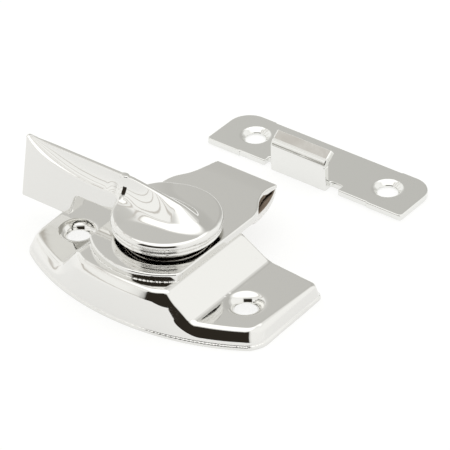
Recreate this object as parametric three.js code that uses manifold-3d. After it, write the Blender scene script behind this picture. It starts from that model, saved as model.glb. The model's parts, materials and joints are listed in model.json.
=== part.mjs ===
// Cam-action window lock: a die-cast lock body with a swivelling thumb lever that
// drives a latch plate, and the pressed strike plate that it draws in.
// Units are millimetres. +Z is up, the lever turns about Z, the strike lies towards +Y.
import * as THREE from 'three';
import { mergeVertices } from 'three/addons/utils/BufferGeometryUtils.js';
import Module from 'manifold-3d';

// ---- driving dimensions ----
const WALL = 1.7; // roofs and sloping walls of the casting
const SKIRT = 2; // its upright walls
const GAP = 0.3; // air between parts that would touch
const RUN = 0.06; // radial clearance of a running fit
const ROUND = 48; // facets on a full circle
const WELD = 0.05; // overlap of two volumes that are joined into one
const BEYOND = 40; // reach of a cutter past everything that it cuts

const BASE = {
  half: 30.8, // half length on the sash, at the front corners
  endY: -7.4, // where the front corners start
  endHalf: 30.4, // half length at the rear corners
  bow: 18.9, // reach of the bowed front on the sash
  bowSquare: 6.9, // how far the bow falls back, by the square of x
  bowFourth: 1.2, // and by its fourth power
  bowAt: 29.3, // x at which the two falls above are met in full
  corner: 2.4, // length of the front corners' rounding
  lip: 0.9, // height of the foot's lip
  lipStep: 0.2, // and how far it stands out
  earTop: 4.1,
  earRear: 12.6, // rear corners, on the sash
  footHalf: 17.1, // where the sloping flanks meet the ears
  rear: 13.5, // rear of the middle, on the sash
  topHalf: 11.75, // half width of the bridge
  top: 10.1, // top of the bridge
  leanRear: 0.34, // lean of the rear walls, per millimetre of height
  leanCorner: 0.3, // lean of the ends at the front corners
  leanTail: 0.12, // and at the rear ones
  endRound: 1.4, // chamfer along the ends' upper edge
  leanMid: 0.13, // lean of the front wall in the middle
  leanEnd: 0.48, // and in front of the ears
  leanFrom: 8, // between these two x the lean grows from one to the other
  leanTo: 18,
};
const HOOD = {
  top: 11.8,
  half: 11.7,
  cornerY: -11, // front corners of the top plate
  frontY: -15.9, // middle of its bowed front edge
  shoulderY: 15.1,
  neckY: 20.8,
  tongueHalf: 7.9,
  rearY: 27,
  noseRun: 2, // length of the slope that ends the tongue
  noseDrop: 0.9,
};
const SCREW = { x: 22, y: -2.85, r: 2.15, mouth: 2.5 }; // the mouth is rounded like a trumpet's
const PIVOT = { boreR: 6.2, journalR: 4.6 };
const LEVER = {
  discR: 11.5,
  discBottom: 12.86,
  discTop: 15.7,
  edge: 0.45,
  crest: 21,
  crestHalf: 0.5,
  bladeHalf: 2.3,
  tipTop: -37.1,
  tipBottom: -38,
  paddleZ: 6.4,
  notchOut: -24.4,
  notchIn: -22.6,
  tipRun: 9, // length over which the tip leans and its top narrows
  tipNarrow: 0.8, // share of its width that the top loses at the tip
  notchFoot: 7.4,
  underZ: 12.2,
  root: 1, // how far the blade's underside runs in under the disc
  rimInset: 0.25, // keeps the blade's foot inside the disc's rim
  coveHalf: 6.2, // half width of the hollow coves beside the crest, at the disc's rim
  coveTaper: 0.13, // narrowing of the ridge along the disc, per millimetre
  coveFrom: -15, // between these two x the blade's side opens into the coves
  coveTo: -11,
  bellFrom: -9, // between these two x the hollow section turns into a rounded one
  bellTo: 2,
  fallFrom: -9, // from here the crest falls
  fall: 0.57, // share of its height that it loses down to the nose
  fallPower: 1.25,
  noseFrom: 3, // between these two x it ends in a round nose
  noseTo: 9.7,
  ridgeRound: 0.25, // rounding of the ridge's top, as a share of its half width
  panelZ: 16.8, // top of the flat side of the blade, where it starts to rise to the tip
  panelFrom: -17,
};
const YOKE = { offset: 2.2, discR: 4.6, slack: 0.6 }; // eccentric that slides the latch plate
const LATCH = {
  bottom: 8.05,
  top: 9.75,
  half: 9.2, // inside the channel
  front: -7.5,
  channelFront: -12.2, // the channel's own front end
  channelDrop: 1, // its depth below the roof of the casting
  exitY: 13.9, // behind the casting the plate widens, up to flareY
  flareY: 15.9,
  wide: 10.2,
  bulgeY: 22,
  noseHalf: 6.6,
  noseY: 28.2,
};
const TAIL = { r: 2, rivetR: 3, rivetTipR: 2.2, rivetZ: 4.6, rivetTop: 5.5, rivetChamfer: 0.5 };
const TENON = { r: 3.6, rise: 1.6 }; // squared end of the spindle, in the lever
const WASHER = {
  frictionR: 9.2,
  springR: 6.2,
  springZ: 7.1,
  retainingR: 7.2,
  retainingZ: 5.8,
  retainingTop: 6.8,
};
const STRIKE = {
  centreX: 1.9,
  half: 25.9,
  frontY: 43.3,
  rearY: 57.1,
  waist: 0.2, // how far the edges between the holes are set back
  waistHalf: 16.9,
  thick: 1.5,
  rearCorner: 5.2,
  frontCorner: 0.8,
  holeHalf: 17.7,
  holeY: 50.3,
  holeR: 2.2,
  sinkR: 3.3,
  sinkDepth: 0.9,
};
const HOOK = {
  centreX: 0.9,
  half: 7.3,
  frontY: 43.2,
  bendR: 2.4,
  lean: 35, // rise of the flange past the bend, in degrees
  flange: 2.1,
  height: 9.05,
  thick: 1.5,
  root: 4, // how far the hook's foot runs into the plate
  reliefDepth: 2.1, // notches beside the hook
  reliefLeft: 1.9,
  reliefRight: 3.04,
};

const wasm = await Module();
wasm.setup();

// ---- materials ----
const chrome = () => new THREE.MeshStandardMaterial({ color: 0xd4d4d0, metalness: 1, roughness: 0.08 });
const steel = () => new THREE.MeshStandardMaterial({ color: 0x9a958c, metalness: 1, roughness: 0.35 });
const darkSteel = () => new THREE.MeshStandardMaterial({ color: 0x4a4036, metalness: 0.9, roughness: 0.4 });
const nylon = () => new THREE.MeshStandardMaterial({ color: 0xe8e4d8, metalness: 0, roughness: 0.5 });

// ---- solids ----
function solid(geometry) {
  const bare = geometry.clone();
  for (const name of Object.keys(bare.attributes)) {
    if (name !== 'position') bare.deleteAttribute(name);
  }
  const merged = mergeVertices(bare, 1e-4);
  const mesh = new wasm.Mesh({
    numProp: 3,
    vertProperties: new Float32Array(merged.attributes.position.array),
    triVerts: new Uint32Array(merged.index.array),
  });
  return new wasm.Manifold(mesh);
}

function part(name, body, material) {
  const data = body.getMesh();
  const geometry = new THREE.BufferGeometry();
  geometry.setAttribute('position', new THREE.BufferAttribute(new Float32Array(data.vertProperties), 3));
  geometry.setIndex(new THREE.BufferAttribute(new Uint32Array(data.triVerts), 1));
  geometry.computeVertexNormals();
  const mesh = new THREE.Mesh(geometry, material);
  mesh.name = name;
  return mesh;
}

function box(x0, x1, y0, y1, z0, z1) {
  const geometry = new THREE.BoxGeometry(x1 - x0, y1 - y0, z1 - z0);
  geometry.translate((x0 + x1) / 2, (y0 + y1) / 2, (z0 + z1) / 2);
  return solid(geometry);
}

// A plan outline raised from z0 to z1.
function prism(shape, z0, z1, steps = 1) {
  const options = { depth: z1 - z0, steps, bevelEnabled: false, curveSegments: 10 };
  const geometry = new THREE.ExtrudeGeometry(shape, options);
  geometry.translate(0, 0, z0);
  return geometry;
}

// An outline drawn in X and Z, run along Y from y0 to y1.
function alongY(points, y0, y1) {
  const shape = new THREE.Shape(points.map(([x, z]) => new THREE.Vector2(x, -z)));
  const geometry = new THREE.ExtrudeGeometry(shape, { depth: y1 - y0, bevelEnabled: false });
  geometry.rotateX(-Math.PI / 2);
  geometry.translate(0, y0, 0);
  return solid(geometry);
}

// An outline drawn in Y and Z, run along X from x0 to x1.
function alongX(points, x0, x1) {
  const shape = new THREE.Shape(points.map(([y, z]) => new THREE.Vector2(y, z)));
  const geometry = new THREE.ExtrudeGeometry(shape, { depth: x1 - x0, bevelEnabled: false });
  geometry.rotateX(Math.PI / 2);
  geometry.rotateZ(Math.PI / 2);
  geometry.translate(x0, 0, 0);
  return solid(geometry);
}

// A profile of [radius, z] turned about Z through (x, y).
function turned(profile, x = 0, y = 0) {
  const points = profile.map(([r, z]) => new THREE.Vector2(r, z));
  const geometry = new THREE.LatheGeometry(points, ROUND);
  geometry.rotateX(Math.PI / 2);
  geometry.translate(x, y, 0);
  return solid(geometry);
}

const disc = (r, z0, z1, x = 0, y = 0) => turned([[0, z0], [r, z0], [r, z1], [0, z1]], x, y);

function ring(outer, inner, z0, z1) {
  return turned([[inner, z0], [outer, z0], [outer, z1], [inner, z1], [inner, z0]]);
}

const smooth = (t) => {
  const s = Math.min(Math.max(t, 0), 1);
  return s * s * (3 - 2 * s);
};

// Moves every vertex of a geometry by a rule.
function displaced(geometry, rule) {
  const position = geometry.attributes.position;
  const point = new THREE.Vector3();
  for (let i = 0; i < position.count; i += 1) {
    point.fromBufferAttribute(position, i);
    rule(point);
    position.setXYZ(i, point.x, point.y, point.z);
  }
  return geometry;
}

// ---- lock body ----
const bowY = (x) => {
  const u = (x / BASE.bowAt) ** 2;
  return -BASE.bow + BASE.bowSquare * u + BASE.bowFourth * u * u;
};
const lean = (x) => {
  const share = smooth((Math.abs(x) - BASE.leanFrom) / (BASE.leanTo - BASE.leanFrom));
  return BASE.leanMid + (BASE.leanEnd - BASE.leanMid) * share;
};

// Lean of the ends, which twist from front to rear.
const endLean = (y) => {
  const share = (y - BASE.endY) / (BASE.earRear - BASE.endY);
  return BASE.leanCorner + (BASE.leanTail - BASE.leanCorner) * Math.min(Math.max(share, 0), 1);
};

// Plan of the body, drawn in by a wall thickness where inset is given.
function basePlan(inset) {
  const half = BASE.half - inset;
  const turn = half - BASE.corner;
  const cornerY = bowY(half) + inset;
  const shape = new THREE.Shape();
  shape.moveTo(inset - BASE.endHalf, BASE.earRear - inset);
  shape.lineTo(-half, BASE.endY + inset);
  shape.quadraticCurveTo(-half, cornerY, -turn, bowY(turn) + inset);
  const steps = 28;
  for (let i = 1; i <= steps; i += 1) {
    const x = -turn + (2 * turn * i) / steps;
    shape.lineTo(x, bowY(x) + inset);
  }
  shape.quadraticCurveTo(half, cornerY, half, BASE.endY + inset);
  shape.lineTo(BASE.endHalf - inset, BASE.earRear - inset);
  shape.lineTo(BASE.footHalf, BASE.rear - inset);
  shape.lineTo(-BASE.footHalf, BASE.rear - inset);
  shape.closePath();
  return shape;
}

// The plan raised to the bridge's top, with its walls leaning inwards all round.
function leaningBlock(inset, z0, z1) {
  const levels = 5;
  const raised = prism(basePlan(inset), z0, z1, levels);
  return solid(displaced(raised, (p) => {
    const out = Math.abs(p.x);
    const height = Math.max(p.z, 0);
    const onEar = smooth((out - BASE.footHalf) / (BASE.endHalf - SKIRT - BASE.footHalf));
    p.x -= Math.sign(p.x) * onEar * endLean(p.y) * Math.min(height, BASE.earTop);
    p.y += p.y < 0 ? lean(out) * height : -BASE.leanRear * height;
  }));
}

function frontSilhouette() {
  const { footHalf, topHalf, top, earTop, half, leanCorner, endRound } = BASE;
  const edge = half - leanCorner * earTop;
  return [
    [-BEYOND, 0], [BEYOND, 0], [BEYOND, earTop - endRound], [edge, earTop - endRound],
    [edge - endRound, earTop], [footHalf, earTop], [topHalf, top], [-topHalf, top],
    [-footHalf, earTop], [endRound - edge, earTop], [-edge, earTop - endRound],
    [-BEYOND, earTop - endRound],
  ];
}

function hollowSilhouette() {
  const floor = BASE.earTop - WALL;
  const roof = BASE.top - WALL;
  const foot = BASE.footHalf - WALL;
  const top = BASE.topHalf - WALL;
  return [
    [-BEYOND, -BEYOND], [BEYOND, -BEYOND], [BEYOND, floor], [foot, floor],
    [top, roof], [-top, roof], [-foot, floor], [-BEYOND, floor],
  ];
}

function hoodPlan() {
  const depth = HOOD.cornerY - HOOD.frontY;
  const radius = (HOOD.half ** 2 + depth ** 2) / (2 * depth);
  const sweep = Math.asin(HOOD.half / radius);
  const down = -Math.PI / 2;
  const shape = new THREE.Shape();
  shape.moveTo(-HOOD.half, HOOD.cornerY);
  shape.absarc(0, HOOD.frontY + radius, radius, down - sweep, down + sweep, false);
  shape.lineTo(HOOD.half, HOOD.shoulderY);
  shape.lineTo(HOOD.tongueHalf, HOOD.neckY);
  shape.lineTo(HOOD.tongueHalf, HOOD.rearY);
  shape.lineTo(-HOOD.tongueHalf, HOOD.rearY);
  shape.lineTo(-HOOD.tongueHalf, HOOD.neckY);
  shape.lineTo(-HOOD.half, HOOD.shoulderY);
  shape.closePath();
  return shape;
}

// Slopes the tongue's top down to its rear edge.
function noseCut() {
  const { rearY, noseRun, noseDrop, half, top } = HOOD;
  const points = [
    [rearY + 1, top + 1], [rearY - noseRun, top + 1], [rearY - noseRun, top],
    [rearY, top - noseDrop], [rearY + 1, top - noseDrop],
  ];
  return alongX(points, -half, half);
}

function screwHole(x) {
  const { r, mouth } = SCREW;
  const profile = [[0, -BEYOND], [r, -BEYOND]];
  const steps = 5;
  for (let i = 0; i <= steps; i += 1) {
    const a = (Math.PI / 2) * (i / steps);
    profile.push([r + mouth * (1 - Math.cos(a)), BASE.earTop - mouth * (1 - Math.sin(a))]);
  }
  profile.push([r + mouth, BASE.top], [0, BASE.top]);
  return turned(profile, x, SCREW.y);
}

// The casting's outside, without its hood.
function baseOutside() {
  const walls = leaningBlock(BASE.lipStep, 0, BASE.top).intersect(alongY(frontSilhouette(), -BEYOND, BEYOND));
  return walls.add(leaningBlock(0, 0, BASE.lip).intersect(alongY(frontSilhouette(), -BEYOND, BEYOND)));
}

function baseCasting() {
  const hollow = leaningBlock(SKIRT, -1, BASE.top).intersect(alongY(hollowSilhouette(), -BEYOND, BEYOND));
  const exit = BASE.topHalf - WALL;
  const roof = BASE.top - WALL;
  let body = baseOutside().subtract(hollow);
  body = body.subtract(box(-exit, exit, 0, BEYOND, BASE.earTop, roof));
  body = body.subtract(box(-exit, exit, LATCH.channelFront, BEYOND, roof - LATCH.channelDrop, BEYOND));
  body = body.add(solid(prism(hoodPlan(), BASE.top - WELD, HOOD.top)));
  body = body.subtract(noseCut());
  for (const side of [-1, 1]) body = body.subtract(screwHole(side * SCREW.x));
  return body.subtract(disc(PIVOT.boreR, 0, BEYOND));
}

// ---- lever ----
// How far the ridge's nose has been passed, from 0 to 1 at its tip.
const nose = (x) => Math.max(x - LEVER.noseFrom, 0) / (LEVER.noseTo - LEVER.noseFrom);

const crestZ = (x) => {
  const run = Math.max(x - LEVER.fallFrom, 0) / (LEVER.noseTo - LEVER.fallFrom);
  return LEVER.discTop + (LEVER.crest - LEVER.discTop) * (1 - LEVER.fall * run ** LEVER.fallPower);
};

// Half width of the ridge, and the height that it springs from.
function cove(x) {
  const onDisc = smooth((x - LEVER.coveFrom) / (LEVER.coveTo - LEVER.coveFrom));
  const wide = LEVER.coveHalf - LEVER.coveTaper * (x + LEVER.discR);
  const reach = Math.max((LEVER.panelFrom - x) / (LEVER.panelFrom - LEVER.tipTop), 0);
  const panel = LEVER.panelZ + (LEVER.crest - LEVER.panelZ) * Math.min(reach, 1) ** 2 - WELD;
  return {
    half: LEVER.bladeHalf + (wide - LEVER.bladeHalf) * onDisc,
    base: panel + (LEVER.discTop - WELD / 2 - panel) * onDisc,
  };
}

// Section of the rounded ridge: its height over the distance out from its middle.
const ridgeHeight = (out) => {
  const foot = Math.hypot(1, LEVER.ridgeRound);
  return (foot - Math.hypot(Math.min(out, 1), LEVER.ridgeRound)) / (foot - LEVER.ridgeRound);
};

// The lever's upper surface: a narrow flat crest between two quarter-round hollows along the
// blade, and a rounded ridge on the disc.
function ridgeZ(x, y) {
  const { half, base } = cove(x);
  const out = Math.abs(y);
  const t = Math.min(Math.max((out - LEVER.crestHalf) / (half - LEVER.crestHalf), 0), 1);
  const hollow = 1 - Math.sqrt(t * (2 - t));
  const rounded = ridgeHeight(Math.hypot(out / half, nose(x)));
  const share = smooth((x - LEVER.bellFrom) / (LEVER.bellTo - LEVER.bellFrom));
  return base + (Math.max(crestZ(x), base) - base) * (hollow + (rounded - hollow) * share);
}

function underZ(x) {
  if (x > LEVER.root - LEVER.discR) return (LEVER.discBottom + LEVER.discTop) / 2;
  if (x > LEVER.notchIn) return LEVER.underZ;
  if (x < LEVER.notchOut) return LEVER.paddleZ;
  const share = (x - LEVER.notchOut) / (LEVER.notchIn - LEVER.notchOut);
  return LEVER.notchFoot + (LEVER.underZ - LEVER.notchFoot) * share;
}

function bladeWidth(x) {
  const rim = LEVER.discR - LEVER.rimInset;
  if (x < -Math.sqrt(rim ** 2 - LEVER.bladeHalf ** 2)) return LEVER.bladeHalf;
  return Math.min(cove(x).half, Math.sqrt(Math.max(rim ** 2 - x * x, WELD)));
}

// The thumb blade: a grid of stations along X, each with its own width, top and underside.
function blade() {
  const stations = 44;
  const across = 12;
  const bunching = 1.4; // draws the grid's lines towards the crest
  const run = LEVER.noseTo - WELD - LEVER.tipTop;
  const grid = new THREE.BoxGeometry(1, 1, 1, stations, across, 1);
  return solid(displaced(grid, (p) => {
    const x = LEVER.tipTop + (p.x + 0.5) * run;
    const side = p.y * 2;
    const y = Math.sign(side) * Math.abs(side) ** bunching * bladeWidth(x);
    const tip = Math.max(0, 1 - (x - LEVER.tipTop) / LEVER.tipRun);
    if (p.z > 0) p.set(x, y * (1 - LEVER.tipNarrow * tip * tip), ridgeZ(x, y));
    else p.set(x + (LEVER.tipBottom - LEVER.tipTop) * tip, y, underZ(x));
  }));
}

function lever() {
  const { discR, discBottom, discTop, edge } = LEVER;
  const plate = turned([
    [0, discBottom], [discR - edge, discBottom], [discR, discBottom + edge],
    [discR, discTop - edge], [discR - edge, discTop], [0, discTop],
  ]);
  const socket = disc(TENON.r + GAP, 0, discBottom + TENON.rise + GAP);
  return plate.add(blade()).subtract(socket);
}

// ---- spindle and its washers ----
function spindle() {
  const { r, rivetR, rivetTipR, rivetZ, rivetTop, rivetChamfer } = TAIL;
  const journalTop = LEVER.discBottom - GAP;
  const journal = disc(PIVOT.journalR, LATCH.top, journalTop);
  const tenon = disc(TENON.r, journalTop - WELD, LEVER.discBottom + TENON.rise);
  const eccentric = disc(YOKE.discR, LATCH.bottom, LATCH.top + WELD, 0, YOKE.offset);
  const tail = disc(r, rivetTop - WELD, LATCH.bottom + WELD);
  const rivet = turned([
    [0, rivetZ], [rivetTipR, rivetZ], [rivetR, rivetZ + rivetChamfer], [rivetR, rivetTop], [0, rivetTop],
  ]);
  return journal.add(tenon).add(eccentric).add(tail).add(rivet);
}

const pivotBush = () => ring(PIVOT.boreR - GAP, PIVOT.journalR + RUN, BASE.top, HOOD.top);
const frictionWasher = () => {
  const top = LEVER.discBottom - GAP;
  return ring(WASHER.frictionR, PIVOT.journalR + RUN, HOOD.top + GAP, top);
};
const springWasher = () => ring(WASHER.springR, TAIL.r + GAP, WASHER.springZ, LATCH.bottom - GAP);
const retainingWasher = () => {
  const { retainingR, retainingZ, retainingTop } = WASHER;
  return ring(retainingR, TAIL.r + RUN, retainingZ, retainingTop);
};

// ---- latch plate ----
function latchPlan() {
  const { half, front, exitY, flareY, wide, bulgeY, noseHalf, noseY } = LATCH;
  const shape = new THREE.Shape();
  shape.moveTo(-half, front);
  shape.lineTo(half, front);
  shape.lineTo(half, exitY);
  shape.lineTo(wide, flareY);
  shape.quadraticCurveTo(wide, bulgeY, noseHalf, noseY);
  shape.lineTo(-noseHalf, noseY);
  shape.quadraticCurveTo(-wide, bulgeY, -wide, flareY);
  shape.lineTo(-half, exitY);
  shape.closePath();
  return shape;
}

// The plate has a window that the eccentric pushes to and fro.
function latchPlate() {
  const { offset, discR, slack } = YOKE;
  const wide = discR + offset + slack;
  const deep = discR + slack;
  const plate = solid(prism(latchPlan(), LATCH.bottom, LATCH.top));
  return plate.subtract(box(-wide, wide, offset - deep, offset + deep, 0, BEYOND));
}

// ---- strike ----
function strikePlan() {
  const { half, frontY, rearY, rearCorner, frontCorner, waist, waistHalf } = STRIKE;
  const shape = new THREE.Shape();
  shape.moveTo(-half + frontCorner, frontY);
  shape.lineTo(-waistHalf, frontY);
  shape.lineTo(-waistHalf + waist, frontY + waist);
  shape.lineTo(waistHalf - waist, frontY + waist);
  shape.lineTo(waistHalf, frontY);
  shape.lineTo(half - frontCorner, frontY);
  shape.absarc(half - frontCorner, frontY + frontCorner, frontCorner, -Math.PI / 2, 0, false);
  shape.lineTo(half, rearY - rearCorner);
  shape.absarc(half - rearCorner, rearY - rearCorner, rearCorner, 0, Math.PI / 2, false);
  shape.lineTo(waistHalf, rearY);
  shape.lineTo(waistHalf - waist, rearY - waist);
  shape.lineTo(-waistHalf + waist, rearY - waist);
  shape.lineTo(-waistHalf, rearY);
  shape.lineTo(-half + rearCorner, rearY);
  shape.absarc(-half + rearCorner, rearY - rearCorner, rearCorner, Math.PI / 2, Math.PI, false);
  shape.lineTo(-half, frontY + frontCorner);
  shape.absarc(-half + frontCorner, frontY + frontCorner, frontCorner, Math.PI, Math.PI * 1.5, false);
  return shape;
}

// Side profile of the hook: up from the plate, round a bend and back over the plate.
function hookProfile() {
  const { frontY, bendR, height, thick, flange, root } = HOOK;
  const rise = THREE.MathUtils.degToRad(HOOK.lean);
  const turn = Math.PI / 2 - rise;
  const bendY = frontY + bendR;
  const bendZ = height - flange * Math.sin(rise) - bendR * Math.sin(turn);
  const outer = [];
  const inner = [];
  const steps = 6;
  for (let i = 0; i <= steps; i += 1) {
    const a = Math.PI - (turn * i) / steps;
    outer.push([bendY + bendR * Math.cos(a), bendZ + bendR * Math.sin(a)]);
    inner.push([bendY + (bendR - thick) * Math.cos(a), bendZ + (bendR - thick) * Math.sin(a)]);
  }
  const onward = ([y, z]) => [y + flange * Math.cos(rise), z + flange * Math.sin(rise)];
  outer.push(onward(outer[steps]));
  inner.push(onward(inner[steps]));
  const foot = [[frontY + root, 0], [frontY, 0]];
  const heel = [[frontY + thick, STRIKE.thick], [frontY + root, STRIKE.thick]];
  return [...foot, ...outer, ...inner.reverse(), ...heel];
}

function strikeHole(x) {
  const { holeR, holeY, sinkR, sinkDepth, thick } = STRIKE;
  return turned([
    [0, -BEYOND], [holeR, -BEYOND], [holeR, thick - sinkDepth],
    [sinkR, thick + WELD], [sinkR, BEYOND], [0, BEYOND],
  ], x, holeY);
}

function strike() {
  const { centreX, half, frontY, reliefDepth, reliefLeft, reliefRight } = HOOK;
  const left = centreX - half;
  const right = centreX + half;
  let body = solid(prism(strikePlan(), 0, STRIKE.thick)).translate([STRIKE.centreX, 0, 0]);
  for (const [x0, x1] of [[left - reliefLeft, left], [right, right + reliefRight]]) {
    body = body.subtract(box(x0, x1, 0, frontY + reliefDepth, -BEYOND, BEYOND));
  }
  body = body.add(alongX(hookProfile(), left, right));
  for (const side of [-1, 1]) body = body.subtract(strikeHole(STRIKE.centreX + side * STRIKE.holeHalf));
  return body;
}

// The parts stand about the lever's axis; the group moves them to the middle of their own box.
const lock = new THREE.Group();
lock.name = 'window_lock';
lock.position.set(-(LEVER.tipBottom + BASE.half) / 2, -(STRIKE.rearY - BASE.bow) / 2, 0);
lock.add(
  part('base_casting', baseCasting(), chrome()),
  part('lever', lever(), chrome()),
  part('spindle', spindle(), steel()),
  part('pivot_bush', pivotBush(), nylon()),
  part('friction_washer', frictionWasher(), darkSteel()),
  part('latch_plate', latchPlate(), darkSteel()),
  part('spring_washer', springWasher(), steel()),
  part('retaining_washer', retainingWasher(), steel()),
  part('strike_plate', strike(), chrome()),
);

export default lock;
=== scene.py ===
"""The looks of a cam-action window lock: each CAD solid gets a fine mesh with rounded edges.

Every fine mesh is the zero surface of a distance field. Its lengths are in millimetres, measured
from the lever's axis at the height of the sash faces.
"""

import json
import math

import bpy
import numpy as np
from mathutils import Matrix, Vector


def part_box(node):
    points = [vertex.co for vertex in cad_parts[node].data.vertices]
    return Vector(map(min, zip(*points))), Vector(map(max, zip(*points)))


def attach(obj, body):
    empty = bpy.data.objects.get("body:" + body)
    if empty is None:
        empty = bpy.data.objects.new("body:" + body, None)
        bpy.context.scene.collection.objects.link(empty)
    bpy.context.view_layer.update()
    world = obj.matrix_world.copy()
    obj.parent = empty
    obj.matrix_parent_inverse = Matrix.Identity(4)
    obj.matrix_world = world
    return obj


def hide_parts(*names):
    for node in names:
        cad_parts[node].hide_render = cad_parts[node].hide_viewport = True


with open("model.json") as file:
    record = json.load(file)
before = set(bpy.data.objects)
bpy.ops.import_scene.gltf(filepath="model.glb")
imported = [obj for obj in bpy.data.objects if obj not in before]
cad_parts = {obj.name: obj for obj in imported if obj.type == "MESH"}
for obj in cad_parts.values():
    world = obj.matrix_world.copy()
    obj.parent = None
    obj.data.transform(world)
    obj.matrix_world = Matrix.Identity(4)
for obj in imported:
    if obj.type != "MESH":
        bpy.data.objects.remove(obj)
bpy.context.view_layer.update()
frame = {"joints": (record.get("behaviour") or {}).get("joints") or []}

MM = 0.001
LEVER_JOINT = next(j for j in frame["joints"] if j["name"] == "lever_turn")
AXIS = np.array([LEVER_JOINT["pos_m"][0], LEVER_JOINT["pos_m"][1], 0.0])


def span(node):
    """Lowest and highest corners of a CAD node, in millimetres from the lever's axis."""
    lo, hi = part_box(node)
    return (np.array(lo) - AXIS) / MM, (np.array(hi) - AXIS) / MM


# ---- distance fields: negative inside the metal ----
def both(a, b, r=0.0):
    """Where a and b overlap, with the outer edge between them rounded to radius r."""
    inner = np.minimum(-r, np.maximum(a, b))
    return inner + np.hypot(np.maximum(a + r, 0), np.maximum(b + r, 0))


def either(a, b, r=0.0):
    """a and b joined, with a fillet of radius r in the corner between them."""
    return -both(-a, -b, r)


def cut(a, b, r=0.0):
    """a without b, with the new edge rounded to radius r."""
    return both(a, -b, r)


def ease(t):
    """From 0 to 1 in a smooth step, as t goes from 0 to 1."""
    s = np.clip(t, 0, 1)
    return s * s * (3 - 2 * s)


def slab(value, lo, hi):
    """Between two parallel planes."""
    return np.abs(value - (lo + hi) / 2) - (hi - lo) / 2


def block(x, y, z, lo, hi, r=0.0):
    flat = both(slab(x, lo[0], hi[0]), slab(y, lo[1], hi[1]), r)
    return both(flat, slab(z, lo[2], hi[2]), r)


def line(u, v, start, end):
    """Distance from the line start to end in the plane of u and v, positive on its left."""
    du, dv = end[0] - start[0], end[1] - start[1]
    return ((v - start[1]) * du - (u - start[0]) * dv) / math.hypot(du, dv)


def countersunk(x, y, z, r, sink_r, low, high):
    """A screw hole of radius r that opens from height low to sink_r at height high."""
    radius = np.hypot(x, y)
    cone = line(radius, z, (sink_r, high), (r, low))
    return either(radius - r, both(cone, radius - sink_r), 0.15)


# ---- lock body ----
BASE_LO, BASE_HI = span("base_casting")
HALF = BASE_HI[0]
BOW = -BASE_LO[1]
HOOD_TOP = BASE_HI[2]
HOOD_REAR = BASE_HI[1]
# how far the front falls back at x = BOW_AT, as the square and the fourth power of x
BOW_SQUARE, BOW_FOURTH, BOW_AT = 6.9, 1.2, 29.3
# lean of the front in its middle and towards its ends, and where it changes
LEAN_MID, LEAN_END, LEAN_FROM, LEAN_TO = 0.01, 0.17, 8.0, 18.0
BEVEL_LEAN, BEVEL_WIDTH, BEVEL_SOFT = 0.55, 2.15, 0.6  # further lean below the front's upper edge
EAR_TOP, EAR_REAR = 4.1, 12.6
BRIDGE_R, FLANK_FOOT_R = 0.8, 0.6
END_Y, END_HALF = -7.4, 30.4  # front corner's y, rear corner's x
LEAN_CORNER, LEAN_TAIL, LEAN_REAR = 0.3, 0.06, 0.34  # of the ends, front and rear, and of the rear
FOOT_HALF, REAR = 17.1, 13.5
TOP, TOP_HALF = 10.1, 11.75
LIP, LIP_STEP = 0.9, 0.2
WALL, SKIRT = 1.7, 2.0
CORNER_R, REAR_CORNER_R = 2.4, 1.7  # in plan
RIDGE_R, END_RIDGE_R, TAIL_RIDGE_R = 0.6, 1.3, 0.7  # upper edge: front, front corner, rear corner
BEVEL_ROUND = 3.0  # rounding of the roof line that the bevel follows
CAST_R = 0.2  # small roundings of the casting
HOOD = {
    "half": 11.7, "corner_y": -11.0, "front_y": -15.9,
    "shoulder_y": 15.1, "neck_y": 20.8, "tongue": 7.9,
}
NOSE_RUN, NOSE_DROP = 2.0, 0.9  # slope that ends the tongue
SCREW = {"x": 22.0, "y": -2.85, "r": 2.15, "mouth": 2.5}
BORE_R = 6.2
CHANNEL_FRONT, CHANNEL_DROP = -12.2, 1.0


def along_end(y):
    """How far y lies along the body's ends, from 0 at the front corner to 1 at the rear."""
    return np.clip((y - END_Y) / (EAR_REAR - END_Y), 0, 1)


def walls(x, y, z, top):
    """The body's upright outside: bowed front, leaning ends and the broken line of its rear.
    The front leans further back in the last millimetres below the top."""
    out = np.abs(x)
    u = (x / BOW_AT) ** 2
    bow = -BOW + BOW_SQUARE * u + BOW_FOURTH * u * u
    slope = 2 * x / BOW_AT**2 * (BOW_SQUARE + 2 * BOW_FOURTH * u)
    lean = LEAN_MID + (LEAN_END - LEAN_MID) * ease((out - LEAN_FROM) / (LEAN_TO - LEAN_FROM))
    above = BEVEL_WIDTH + np.minimum(top, 1)
    soft = np.hypot(above, BEVEL_SOFT)
    set_back = lean * z + BEVEL_LEAN * (above + soft) / 2
    steep = lean + BEVEL_LEAN * (1 + above / soft) / 2
    front = (bow + set_back - y) / np.sqrt(1 + slope**2 + steep**2)
    share = along_end(y)
    end_lean = LEAN_CORNER + (LEAN_TAIL - LEAN_CORNER) * share
    end = (out - HALF + (HALF - END_HALF) * share + end_lean * z) / np.hypot(1, end_lean)
    rear = y - np.interp(out, [FOOT_HALF, END_HALF], [REAR, EAR_REAR]) + LEAN_REAR * z
    rear = rear / math.hypot(1, LEAN_REAR)
    return both(both(front, end, CORNER_R), rear, REAR_CORNER_R), front - end


def roof(x, z, edge=BRIDGE_R):
    """Ears, sloping flanks and bridge. The bridge's edges are rounded to the radius called edge."""
    out = np.abs(x)
    flank = line(out, z, (TOP_HALF, TOP), (FOOT_HALF, EAR_TOP))
    bridge = both(flank, z - TOP, edge)
    return either(bridge, z - EAR_TOP, FLANK_FOOT_R)


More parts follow.
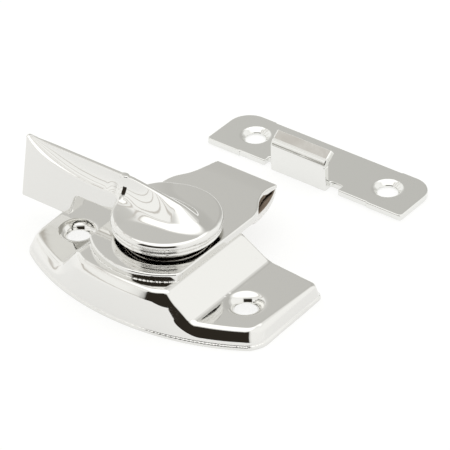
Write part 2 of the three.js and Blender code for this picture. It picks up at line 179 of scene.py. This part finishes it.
def hood(x, y, z):
    """The top plate and the tongue behind it."""
    out = np.abs(x)
    depth = HOOD["corner_y"] - HOOD["front_y"]
    radius = (HOOD["half"] ** 2 + depth**2) / (2 * depth)
    arc = np.hypot(x, np.minimum(y - HOOD["front_y"] - radius, 0)) - radius
    shoulder = line(out, y, (HOOD["tongue"], HOOD["neck_y"]), (HOOD["half"], HOOD["shoulder_y"]))
    plan = both(out - HOOD["half"], either(shoulder, out - HOOD["tongue"], 1.6), 1.2)
    plan = both(plan, arc, 0.6)
    rear = y - HOOD_REAR
    nose = line(y, z, (HOOD_REAR - NOSE_RUN, HOOD_TOP), (HOOD_REAR, HOOD_TOP - NOSE_DROP))
    top = both(z - HOOD_TOP, nose, 1.5)
    return both(both(both(plan, rear, 0.5), top, 0.35), TOP - z, 0.15)


def trumpet(x, y, z):
    """A screw hole whose upper edge is rounded wide open, under a lid that rises steeply round it."""
    beyond = np.hypot(x, y) - SCREW["r"]
    lid = z - EAR_TOP - 3 * np.maximum(beyond - SCREW["mouth"], 0)
    return -both(lid, -beyond, SCREW["mouth"])


def base_casting(x, y, z):
    top = roof(x, z)
    outside, towards_front = walls(x, y, z, roof(x, z, BEVEL_ROUND))
    end_r = END_RIDGE_R + (TAIL_RIDGE_R - END_RIDGE_R) * along_end(y)
    ridge_r = RIDGE_R + (end_r - RIDGE_R) * ease((1 - towards_front) / 2)
    body = both(outside + LIP_STEP, top, ridge_r)
    body = either(body, both(outside, z - LIP, 0.15), 0.1)
    body = both(body, -z, CAST_R)
    body = cut(body, both(outside + SKIRT, top + WALL, 0.5), CAST_R)
    inner = TOP_HALF - WALL
    exit_lo, exit_hi = (-inner, 0, EAR_TOP), (inner, 2 * REAR, TOP - WALL)
    body = cut(body, block(x, y, z, exit_lo, exit_hi, CAST_R), CAST_R)
    channel_lo, channel_hi = (-inner, CHANNEL_FRONT, TOP - WALL - CHANNEL_DROP), (inner, 2 * REAR, TOP)
    body = cut(body, block(x, y, z, channel_lo, channel_hi, CAST_R), CAST_R)
    body = either(body, hood(x, y, z), 0.12)
    body = cut(body, trumpet(np.abs(x) - SCREW["x"], y - SCREW["y"], z))
    return cut(body, np.hypot(x, y) - BORE_R, CAST_R)


# ---- lever ----
LEVER_LO, LEVER_HI = span("lever")
DISC_R = LEVER_HI[0]
CREST = LEVER_HI[2]
PADDLE_Z = LEVER_LO[2]
DISC_BOTTOM, DISC_TOP = 12.86, 15.7
GROOVES, GROOVE_DEPTH = (13.5, 14.4), 0.28
TIP_TOP, TIP_BOTTOM = -37.1, LEVER_LO[0]
TIP_RUN, TIP_NARROW = 9.0, 0.8  # length over which the tip narrows, and by what share
CREST_HALF, BLADE_HALF = 0.5, 2.3
COVE_HALF, COVE_TAPER = 6.2, 0.13  # half width of the coves at the rim, and its fall per millimetre
COVE_FROM, COVE_TO = -15.0, -11.0  # where the blade's sides open into the coves
COVE_POWER, RIM_POWER = 1.6, 2.4  # how hollow the section is along the blade, and at the disc's rim
RIDGE_ROUND, RIDGE_SLOPE = 0.25, 0.75  # the second brings the ridge's field near to true distances
BELL_FROM, BELL_TO = -9.0, 2.0  # where the hollow section turns into a rounded one
FALL_FROM, FALL, FALL_POWER = -9.0, 0.57, 1.25  # how the crest falls towards the nose
NOSE_FROM, NOSE_TO = 3.0, 9.7
PANEL_Z, PANEL_FROM = 16.8, -17.0  # top of the flat side, which rises from here to the tip
NOTCH_OUT, NOTCH_IN, NOTCH_FOOT, ARM_Z = -24.4, -22.6, 7.4, 12.2
TENON_R, TENON_RISE, GAP, RUN = 3.6, 1.6, 0.3, 0.06
DOME, RIM_ROUND = 0.15, 0.9
BLADE_FILLET, RIDGE_FILLET = 0.7, 0.9


def ridge_height(out):
    """Section of the rounded ridge: 1 in its middle, 0 at its foot and less beyond."""
    foot = math.hypot(1, RIDGE_ROUND)
    return (foot - np.hypot(out, RIDGE_ROUND)) / (foot - RIDGE_ROUND)


def lever_top(x, y, z):
    """The crest between its two hollow coves along the blade, and the rounded ridge on the disc."""
    nose = np.maximum(x - NOSE_FROM, 0) / (NOSE_TO - NOSE_FROM)
    run = np.maximum(x - FALL_FROM, 0) / (NOSE_TO - FALL_FROM)
    crest = DISC_TOP + (CREST - DISC_TOP) * (1 - FALL * np.minimum(run, 1.2) ** FALL_POWER)
    on_disc = ease((x - COVE_FROM) / (COVE_TO - COVE_FROM))
    wide = COVE_HALF - COVE_TAPER * (x + DISC_R)
    half = BLADE_HALF + (wide - BLADE_HALF) * on_disc
    reach = np.clip((PANEL_FROM - x) / (PANEL_FROM - TIP_TOP), 0, 1)
    panel = PANEL_Z + (CREST - PANEL_Z) * reach**2
    foot = panel + (DISC_TOP - panel) * on_disc
    tall = np.maximum(crest - foot, 0.05)
    side = np.maximum(half - CREST_HALF, 0.05)
    inwards = np.maximum(half - np.abs(y), 0) / side
    power = COVE_POWER + (RIM_POWER - COVE_POWER) * on_disc
    hollow = (inwards**power + (np.maximum(crest - z, 0) / tall) ** power) ** (1 / power)
    hollow = both((1 - hollow) * np.minimum(side, tall), z - crest, 0.25)
    rounded = RIDGE_SLOPE * (z - foot - tall * ridge_height(np.hypot(y / half, nose)))
    share = ease((x - BELL_FROM) / (BELL_TO - BELL_FROM))
    return both(hollow + (rounded - hollow) * share, z - CREST)


def lever(x, y, z):
    radius = np.hypot(x, y)
    groove = sum(np.maximum(GROOVE_DEPTH - np.abs(z - height), 0) for height in GROOVES)
    dome = DISC_TOP + DOME * (1 - (radius / DISC_R) ** 2)
    disc = both(both(radius - DISC_R + groove, z - dome, RIM_ROUND), DISC_BOTTOM - z, 0.4)
    tip_share = np.clip(1 - (x - TIP_TOP) / TIP_RUN, 0, 1)
    rise = np.clip((z - PADDLE_Z) / (CREST - PADDLE_Z), 0, 1)
    squeeze = 1 - TIP_NARROW * tip_share**2 * rise
    slant = line(x, z, (NOTCH_IN, ARM_Z), (NOTCH_OUT, NOTCH_FOOT))
    under = either(both(PADDLE_Z - z, slant, 0.4), ARM_Z - z, 0.8)
    tip = line(x, z, (TIP_BOTTOM, PADDLE_Z), (TIP_TOP, CREST))
    blade = both(lever_top(x, y / squeeze, z), np.abs(y) - BLADE_HALF * squeeze, 0.2)
    blade = both(both(blade, under, 0.3), tip, 0.5)
    blade = both(blade, x + DISC_R - 1)
    ridge = both(lever_top(x, y, z), radius - DISC_R + 0.25, 0.3)
    ridge = both(ridge, (DISC_BOTTOM + DISC_TOP) / 2 - z)
    body = either(either(blade, disc, BLADE_FILLET), ridge, RIDGE_FILLET)
    return cut(body, both(radius - TENON_R - GAP, z - DISC_BOTTOM - TENON_RISE - GAP), 0.15)


# ---- strike ----
STRIKE_LO, STRIKE_HI = span("strike_plate")
STRIKE_X = (STRIKE_LO[0] + STRIKE_HI[0]) / 2
STRIKE_HALF = (STRIKE_HI[0] - STRIKE_LO[0]) / 2
HOOK_FRONT = STRIKE_LO[1]
HOOK_TOP = STRIKE_HI[2]
STRIKE_FRONT, STRIKE_REAR, STRIKE_THICK = HOOK_FRONT + 0.1, STRIKE_HI[1], 1.5
WAIST, WAIST_HALF = 0.2, 16.9  # how far the edges between the holes are set back
REAR_ROUND, FRONT_ROUND, PRESSED_R = 5.2, 0.8, 0.3
STRIKE_HOLE = {"half": 17.7, "y": 50.3, "r": 2.2, "sink_r": 3.3, "sink": 0.9}
HOOK = {"x": 0.9, "half": 7.3, "bend_r": 2.4, "lean": math.radians(35), "flange": 2.1}
RELIEF = {"depth": 2.1, "left": 1.9, "right": 3.04}


def hook(x, y, z):
    """A strip bent up from the plate's front edge, round a bend and back over the plate."""
    middle = HOOK["bend_r"] - STRIKE_THICK / 2
    turn = math.pi / 2 - HOOK["lean"]
    bend_y = HOOK_FRONT + HOOK["bend_r"]
    bend_z = HOOK_TOP - HOOK["flange"] * math.sin(HOOK["lean"]) - HOOK["bend_r"] * math.sin(turn)
    along = np.array([math.cos(HOOK["lean"]), math.sin(HOOK["lean"])])
    across = np.array([-along[1], along[0]])
    dy, dz = y - bend_y, z - bend_z
    upright = both(np.abs(dy + middle) - STRIKE_THICK / 2, dz)
    reach = dy * along[0] + dz * along[1]
    bend = both(np.abs(np.hypot(dy, dz) - middle) - STRIKE_THICK / 2, both(reach, -dz))
    flange = np.abs(dy * across[0] + dz * across[1] - middle) - STRIKE_THICK / 2
    flange = both(flange, slab(reach, -0.02, HOOK["flange"]))
    strip = np.minimum(np.minimum(upright, bend), flange)
    return both(strip, np.abs(x - HOOK["x"]) - HOOK["half"], PRESSED_R)


def strike_plate(x, y, z):
    plan = both(np.abs(x - STRIKE_X) - STRIKE_HALF, y - STRIKE_REAR, REAR_ROUND)
    plan = both(plan, STRIKE_FRONT - y, FRONT_ROUND)
    waist = slab(y, STRIKE_FRONT + WAIST, STRIKE_REAR - WAIST)
    plan = both(plan, either(waist, WAIST_HALF - np.abs(x - STRIKE_X)), 0.1)
    left, right = HOOK["x"] - HOOK["half"], HOOK["x"] + HOOK["half"]
    for x0, x1 in ((left - RELIEF["left"], left), (right, right + RELIEF["right"])):
        plan = cut(plan, both(slab(x, x0, x1), y - HOOK_FRONT - RELIEF["depth"], 0.4), PRESSED_R)
    plate = both(plan, slab(z, 0, STRIKE_THICK), PRESSED_R)
    body = both(either(plate, hook(x, y, z), PRESSED_R), -z, 0.2)
    sink = (STRIKE_HOLE["r"], STRIKE_HOLE["sink_r"], STRIKE_THICK - STRIKE_HOLE["sink"], STRIKE_THICK)
    out = np.abs(x - STRIKE_X) - STRIKE_HOLE["half"]
    return cut(body, countersunk(out, y - STRIKE_HOLE["y"], z, *sink), 0.25)


# ---- latch plate, spindle and washers ----
LATCH_LO, LATCH_HI = span("latch_plate")
LATCH = {"half": 9.2, "exit_y": 13.9, "flare_y": 15.9, "nose_half": 6.6}
YOKE = {"offset": 2.2, "r": 4.6, "slack": 0.6}
JOURNAL_R, TAIL_R, RIVET_R, RIVET_RISE = 4.6, 2.0, 3.0, 0.9


def latch_plate(x, y, z):
    out = np.abs(x)
    share = np.clip((y - LATCH["flare_y"]) / (LATCH_HI[1] - LATCH["flare_y"]), 0, 1)
    flare = np.clip((y - LATCH["exit_y"]) / (LATCH["flare_y"] - LATCH["exit_y"]), 0, 1)
    wide = LATCH_HI[0]
    half = LATCH["half"] + (wide - LATCH["half"]) * flare - (wide - LATCH["nose_half"]) * share**2
    plan = both(out - half, slab(y, LATCH_LO[1], LATCH_HI[1]), 0.6)
    reach = YOKE["r"] + YOKE["slack"]
    window = both(out - reach - YOKE["offset"], np.abs(y - YOKE["offset"]) - reach, 0.5)
    return both(cut(plan, window), slab(z, LATCH_LO[2], LATCH_HI[2]), 0.25)


def spindle(x, y, z):
    lo, hi = span("spindle")
    radius = np.hypot(x, y)
    body = both(radius - JOURNAL_R, slab(z, LATCH_HI[2], DISC_BOTTOM - GAP), 0.2)
    body = either(body, both(radius - TENON_R, slab(z, LATCH_HI[2], hi[2]), 0.3), 0.1)
    eccentric = np.hypot(x, y - YOKE["offset"]) - YOKE["r"]
    body = either(body, both(eccentric, slab(z, LATCH_LO[2], LATCH_HI[2]), 0.2), 0.1)
    body = either(body, both(radius - TAIL_R, slab(z, lo[2], LATCH_HI[2])), 0.1)
    head = np.hypot(radius, (z - lo[2] - RIVET_RISE) * RIVET_R / RIVET_RISE) - RIVET_R
    return either(body, both(head, z - lo[2] - RIVET_RISE, 0.15), 0.1)


def ring(node, inner):
    """A flat washer over a CAD node's height and outer radius."""
    lo, hi = span(node)
    outer = hi[0]
    edge = min(0.2, (hi[2] - lo[2]) / 3)

    def field(x, y, z):
        radius = np.hypot(x, y)
        return both(both(radius - outer, inner - radius), slab(z, lo[2], hi[2]), edge)

    return field


# ---- from field to mesh ----
MARGIN = 1.4  # cells between a node's box and the grid's first points
SETTLING_STEPS = 4


def surface(field, lo, hi, cell):
    """Surface nets: the zero surface's points and quads, one point in each cell that it crosses."""
    start = lo - MARGIN * cell
    counts = np.ceil((hi - lo) / cell).astype(int) + 4
    axes = [start[k] + cell * np.arange(counts[k]) for k in range(3)]
    value = field(*np.meshgrid(*axes, indexing="ij"))
    inside = value < 0
    quads, crossings = [], []
    for d in range(3):
        one, e, f = (np.eye(3, dtype=int)[(d + k) % 3] for k in range(3))
        low = np.argwhere(np.diff(inside, axis=d))
        v0, v1 = value[tuple(low.T)], value[tuple((low + one).T)]
        crossings.append(start + cell * (low + one * (v0 / (v0 - v1))[:, None]))
        around = np.stack([low, low - e, low - e - f, low - f], axis=1)
        around[v0 > 0] = around[v0 > 0][:, ::-1]
        quads.append(np.ravel_multi_index(np.moveaxis(around, -1, 0), tuple(counts)))
    quads = np.concatenate(quads)
    crossings = np.repeat(np.concatenate(crossings), 4, axis=0)
    _, number = np.unique(quads, return_inverse=True)
    number = number.ravel()
    total = np.stack([np.bincount(number, crossings[:, k]) for k in range(3)], axis=1)
    return total / np.bincount(number)[:, None], number.reshape(-1, 4)


def gradient(field, points, reach=0.01):
    """The field's slope at the points, by differences over the distance called reach."""
    sides = []
    for k in range(3):
        shift = np.eye(3)[k] * reach
        sides.append((field(*(points + shift).T) - field(*(points - shift).T)) / (2 * reach))
    return np.stack(sides, axis=1)


def settled(field, points, cell):
    """The points moved onto the zero surface, and its normals there."""
    for _ in range(SETTLING_STEPS):
        slope = gradient(field, points)
        step = slope * (field(*points.T) / np.maximum((slope**2).sum(1), 1e-6))[:, None]
        length = np.linalg.norm(step, axis=1, keepdims=True)
        points = points - step * np.minimum(1, cell / 2 / np.maximum(length, 1e-9))
    slope = gradient(field, points)
    return points, slope / np.maximum(np.linalg.norm(slope, axis=1, keepdims=True), 1e-9)


def fine(node, field, cell, body, material):
    """A fine mesh of a field, in place of a CAD node."""
    lo, hi = span(node)
    points, quads = surface(field, lo, hi, cell)
    points, normals = settled(field, points, cell)
    points = np.clip(points, lo, hi)
    mesh = bpy.data.meshes.new(node + "_fine")
    mesh.from_pydata((points * MM + AXIS).tolist(), [], quads.tolist())
    mesh.shade_smooth()
    mesh.normals_split_custom_set_from_vertices(normals.tolist())
    piece = bpy.data.objects.new(node + "_fine", mesh)
    bpy.context.scene.collection.objects.link(piece)
    mesh.materials.append(material)
    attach(piece, body)
    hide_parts(node)


# ---- materials ----
HAZE_SCALE, PIT_PATCH_SCALE, PIT_SCALE, RIPPLE_SCALE = 260, 150, 420, 900  # patterns per metre
RIPPLE_HEIGHT = 0.000004
PIT_SHADES = (0.25, 0.23, 0.2)  # a pit's colour, as shares of the plate's
UPRIGHT_BELOW, UPRIGHT_ABOVE = 0.3, 0.6  # the normal's z, between upright and lying faces, over which the painted shade changes colour


def plated(name, colour, rough, wave=1.0, specks=0.0, upright=None):
    """Bright plate: near mirror, with faint ripple, hazy patches and tiny pits.
    Faces that stand upright take the colour called upright, where there is one, as painted shade by
    which way a face points."""
    material = bpy.data.materials.new(name)
    material.use_nodes = True
    nodes, links = material.node_tree.nodes, material.node_tree.links
    shader = nodes["Principled BSDF"]
    shader.inputs["Metallic"].default_value = 1.0
    place = nodes.new("ShaderNodeTexCoord").outputs["Object"]

    def noise(scale, detail):
        node = nodes.new("ShaderNodeTexNoise")
        node.inputs["Scale"].default_value = scale
        node.inputs["Detail"].default_value = detail
        links.new(place, node.inputs["Vector"])
        return node.outputs["Fac"]

    def ranged(value, from_min, from_max, to_min, to_max):
        node = nodes.new("ShaderNodeMapRange")
        limits = {"From Min": from_min, "From Max": from_max, "To Min": to_min, "To Max": to_max}
        for socket, number in limits.items():
            node.inputs[socket].default_value = number
        links.new(value, node.inputs["Value"])
        return node.outputs["Result"]

    haze = ranged(noise(HAZE_SCALE, 4), 0.35, 0.7, rough * 0.6, rough * 1.6)
    links.new(haze, shader.inputs["Roughness"])
    pits = nodes.new("ShaderNodeTexVoronoi")
    pits.inputs["Scale"].default_value = PIT_SCALE
    links.new(place, pits.inputs["Vector"])
    pit = nodes.new("ShaderNodeMath")
    pit.operation = "MULTIPLY"
    links.new(ranged(pits.outputs["Distance"], 0.06, 0.12, 1, 0), pit.inputs[0])
    links.new(ranged(noise(PIT_PATCH_SCALE, 2), 0.66, 0.72, 0, specks), pit.inputs[1])
    mix = nodes.new("ShaderNodeMix")
    mix.data_type = "RGBA"
    mix.inputs["A"].default_value = (*colour, 1)
    pit_colour = [channel * shade for channel, shade in zip(colour, PIT_SHADES)]
    mix.inputs["B"].default_value = (*pit_colour, 1)
    links.new(pit.outputs[0], mix.inputs["Factor"])
    surface_colour = mix.outputs["Result"]
    # Painted shade by which way a face points: upright faces take one colour, lying faces another.
    if upright:
        ways = nodes.new("ShaderNodeSeparateXYZ")
        links.new(nodes.new("ShaderNodeTexCoord").outputs["Normal"], ways.inputs[0])
        level = nodes.new("ShaderNodeMath")
        level.operation = "ABSOLUTE"
        links.new(ways.outputs["Z"], level.inputs[0])
        edges = nodes.new("ShaderNodeMix")
        edges.data_type = "RGBA"
        edges.inputs["A"].default_value = (*upright, 1)
        lying = ranged(level.outputs[0], UPRIGHT_BELOW, UPRIGHT_ABOVE, 0, 1)
        links.new(lying, edges.inputs["Factor"])
        links.new(surface_colour, edges.inputs["B"])
        surface_colour = edges.outputs["Result"]
    links.new(surface_colour, shader.inputs["Base Color"])
    bump = nodes.new("ShaderNodeBump")
    bump.inputs["Distance"].default_value = RIPPLE_HEIGHT * wave
    links.new(noise(RIPPLE_SCALE, 3), bump.inputs["Height"])
    links.new(bump.outputs["Normal"], shader.inputs["Normal"])
    return material


# Chrome's upright faces take a darker copy of its colour: painted shade.
CHROME, CHROME_PAINTED_SHADE, STRIP = (0.825, 0.82, 0.80), (0.77, 0.765, 0.745), (0.82, 0.82, 0.80)
# A dark brown for lying faces, painted shade on the latch plate's top under the hood and on the
# friction washer under the disc, and a plain metal colour for their upright faces.
STEEL, DARK_PAINTED_SHADE, UPRIGHT_METAL = (0.60, 0.58, 0.55), (0.24, 0.19, 0.15), (0.8, 0.79, 0.77)
NYLON = (0.88, 0.86, 0.80)
chrome = plated("chrome", CHROME, 0.05, specks=0.6, upright=CHROME_PAINTED_SHADE)
strip = plated("chrome_strip", STRIP, 0.06)
steel = plated("plain_steel", STEEL, 0.25)
# Painted shade: dark brown on lying faces, plain metal on upright faces.
shade_painted = plated("greased_steel", DARK_PAINTED_SHADE, 0.3, wave=0.3, upright=UPRIGHT_METAL)
nylon = plated("nylon", NYLON, 0.4)

# ---- the pieces: the number in each call is its grid's cell, in millimetres ----
fine("base_casting", base_casting, 0.28, "body", chrome)
fine("lever", lever, 0.2, "handle", chrome)
fine("strike_plate", strike_plate, 0.2, "strike", strip)
fine("latch_plate", latch_plate, 0.25, "latch", shade_painted)
fine("spindle", spindle, 0.16, "handle", steel)
bush = ring("pivot_bush", JOURNAL_R + RUN)
fine("pivot_bush", bush, 0.16, "body", nylon)
under_lever = ring("friction_washer", JOURNAL_R + RUN)
fine("friction_washer", under_lever, 0.15, "handle", shade_painted)
spring = ring("spring_washer", TAIL_R + GAP)
fine("spring_washer", spring, 0.16, "handle", steel)
retainer = ring("retaining_washer", TAIL_R + RUN)
fine("retaining_washer", retainer, 0.16, "handle", steel)


# ---- camera, floor and light ----
VIEW_ANGLES = (38.69, 35.223, -1.872)  # azimuth, elevation and roll, in degrees
VIEW_CENTRE = (-1.736, 20.947, 0)  # millimetres from the lever's axis
VIEW_DISTANCE = 0.6509
LENS, SENSOR = 246.3, 36
FLOOR_REACH, FLOOR_DROP = 6.0, 0.00005
FLOOR_GREY, FLOOR_GLOW = 0.22, 0.8


def photo_camera():
    azimuth, elevation, roll = (math.radians(angle) for angle in VIEW_ANGLES)
    target = Vector(AXIS) + Vector(VIEW_CENTRE) * MM
    flat = math.cos(elevation)
    back = Vector((math.sin(azimuth) * flat, -math.cos(azimuth) * flat, math.sin(elevation)))
    level = Vector((math.cos(azimuth), math.sin(azimuth), 0))
    upright = back.cross(level)
    right = level * math.cos(roll) + upright * math.sin(roll)
    up = upright * math.cos(roll) - level * math.sin(roll)
    data = bpy.data.cameras.new("camera")
    data.lens = LENS
    data.sensor_width = SENSOR
    data.clip_start, data.clip_end = 0.01, 50
    camera = bpy.data.objects.new("camera", data)
    bpy.context.scene.collection.objects.link(camera)
    camera.matrix_world = Matrix((right, up, back)).transposed().to_4x4()
    camera.location = target + back * VIEW_DISTANCE
    bpy.context.scene.camera = camera


def floor():
    mesh = bpy.data.meshes.new("floor")
    reach = FLOOR_REACH
    corners = [(-reach, -reach, 0), (reach, -reach, 0), (reach, reach, 0), (-reach, reach, 0)]
    mesh.from_pydata(corners, [], [(0, 1, 2, 3)])
    plane = bpy.data.objects.new("floor", mesh)
    bpy.context.scene.collection.objects.link(plane)
    plane.location.z = -FLOOR_DROP
    material = bpy.data.materials.new("pale_floor")
    material.use_nodes = True
    shader = material.node_tree.nodes["Principled BSDF"]
    shader.inputs["Base Color"].default_value = (FLOOR_GREY, FLOOR_GREY, FLOOR_GREY, 1)
    shader.inputs["Roughness"].default_value = 0.9
    shader.inputs["Emission Color"].default_value = (1, 1, 0.99, 1)
    shader.inputs["Emission Strength"].default_value = FLOOR_GLOW
    mesh.materials.append(material)


def surroundings():
    """A pale room: mid grey low down, white overhead, bright sides with thin darker lines across
    one, and a dark end behind the camera. Directions are degrees of turn from -Y towards +X, and
    degrees of height."""
    world = bpy.data.worlds.new("room")
    bpy.context.scene.world = world
    world.use_nodes = True
    nodes, links = world.node_tree.nodes, world.node_tree.links
    background = nodes["Background"]
    ways = nodes.new("ShaderNodeSeparateXYZ")
    links.new(nodes.new("ShaderNodeTexCoord").outputs["Generated"], ways.inputs[0])

    def maths(operation, a, b=0.0):
        node = nodes.new("ShaderNodeMath")
        node.operation = operation
        for socket, value in zip(node.inputs, (a, b)):
            if isinstance(value, (int, float)):
                socket.default_value = value
            else:
                links.new(value, socket)
        return node.outputs[0]

    def ramp(value, low, high):
        node = nodes.new("ShaderNodeMapRange")
        node.interpolation_type = "SMOOTHSTEP"
        node.inputs["From Min"].default_value = low
        node.inputs["From Max"].default_value = high
        links.new(value, node.inputs["Value"])
        return node.outputs["Result"]

    def mixed(share, a, b):
        node = nodes.new("ShaderNodeMix")
        node.data_type = "RGBA"
        links.new(share, node.inputs["Factor"])
        for name, value in (("A", a), ("B", b)):
            if isinstance(value, tuple):
                node.inputs[name].default_value = (*value, 1)
            else:
                links.new(value, node.inputs[name])
        return node.outputs["Result"]

    turn = maths("ARCTAN2", ways.outputs["X"], maths("MULTIPLY", ways.outputs["Y"], -1.0))
    height = maths("ARCSINE", ways.outputs["Z"])

    def between(value, low, high, soft):
        rising = ramp(value, math.radians(low - soft), math.radians(low + soft))
        value = maths("MULTIPLY", value, -1.0)
        falling = ramp(value, math.radians(-high - soft), math.radians(-high + soft))
        return maths("MULTIPLY", rising, falling)

    grey, pale, white = (0.56, 0.555, 0.53), (0.7, 0.695, 0.67), (1.35, 1.35, 1.33)
    side, frame_line, dark = (1.06, 1.06, 1.04), (0.66, 0.63, 0.59), (0.03, 0.025, 0.019)
    walls_round = mixed(ramp(turn, math.radians(-160), math.radians(-122)), grey, pale)
    sky = mixed(ramp(height, math.radians(46), math.radians(62)), walls_round, white)
    for left, right in ((60, 165), (-120, -20)):
        panel = maths("MULTIPLY", between(turn, left, right, 8), between(height, -20, 52, 5))
        sky = mixed(panel, sky, side)
    for level, left in ((5, -95), (22, -95), (38, -95), (47, -132), (54.5, -132)):
        thin = between(height, level - 1, level + 1, 0.7)
        bar = maths("MULTIPLY", between(turn, left, -18, 6), thin)
        sky = mixed(bar, sky, frame_line)
    near = maths("MULTIPLY", between(turn, -19, 55, 3), between(height, -20, 42, 4))
    links.new(mixed(near, sky, dark), background.inputs["Color"])
    background.inputs["Strength"].default_value = 1.0


photo_camera()
floor()
surroundings()
bpy.context.scene.view_settings.view_transform = "Standard"
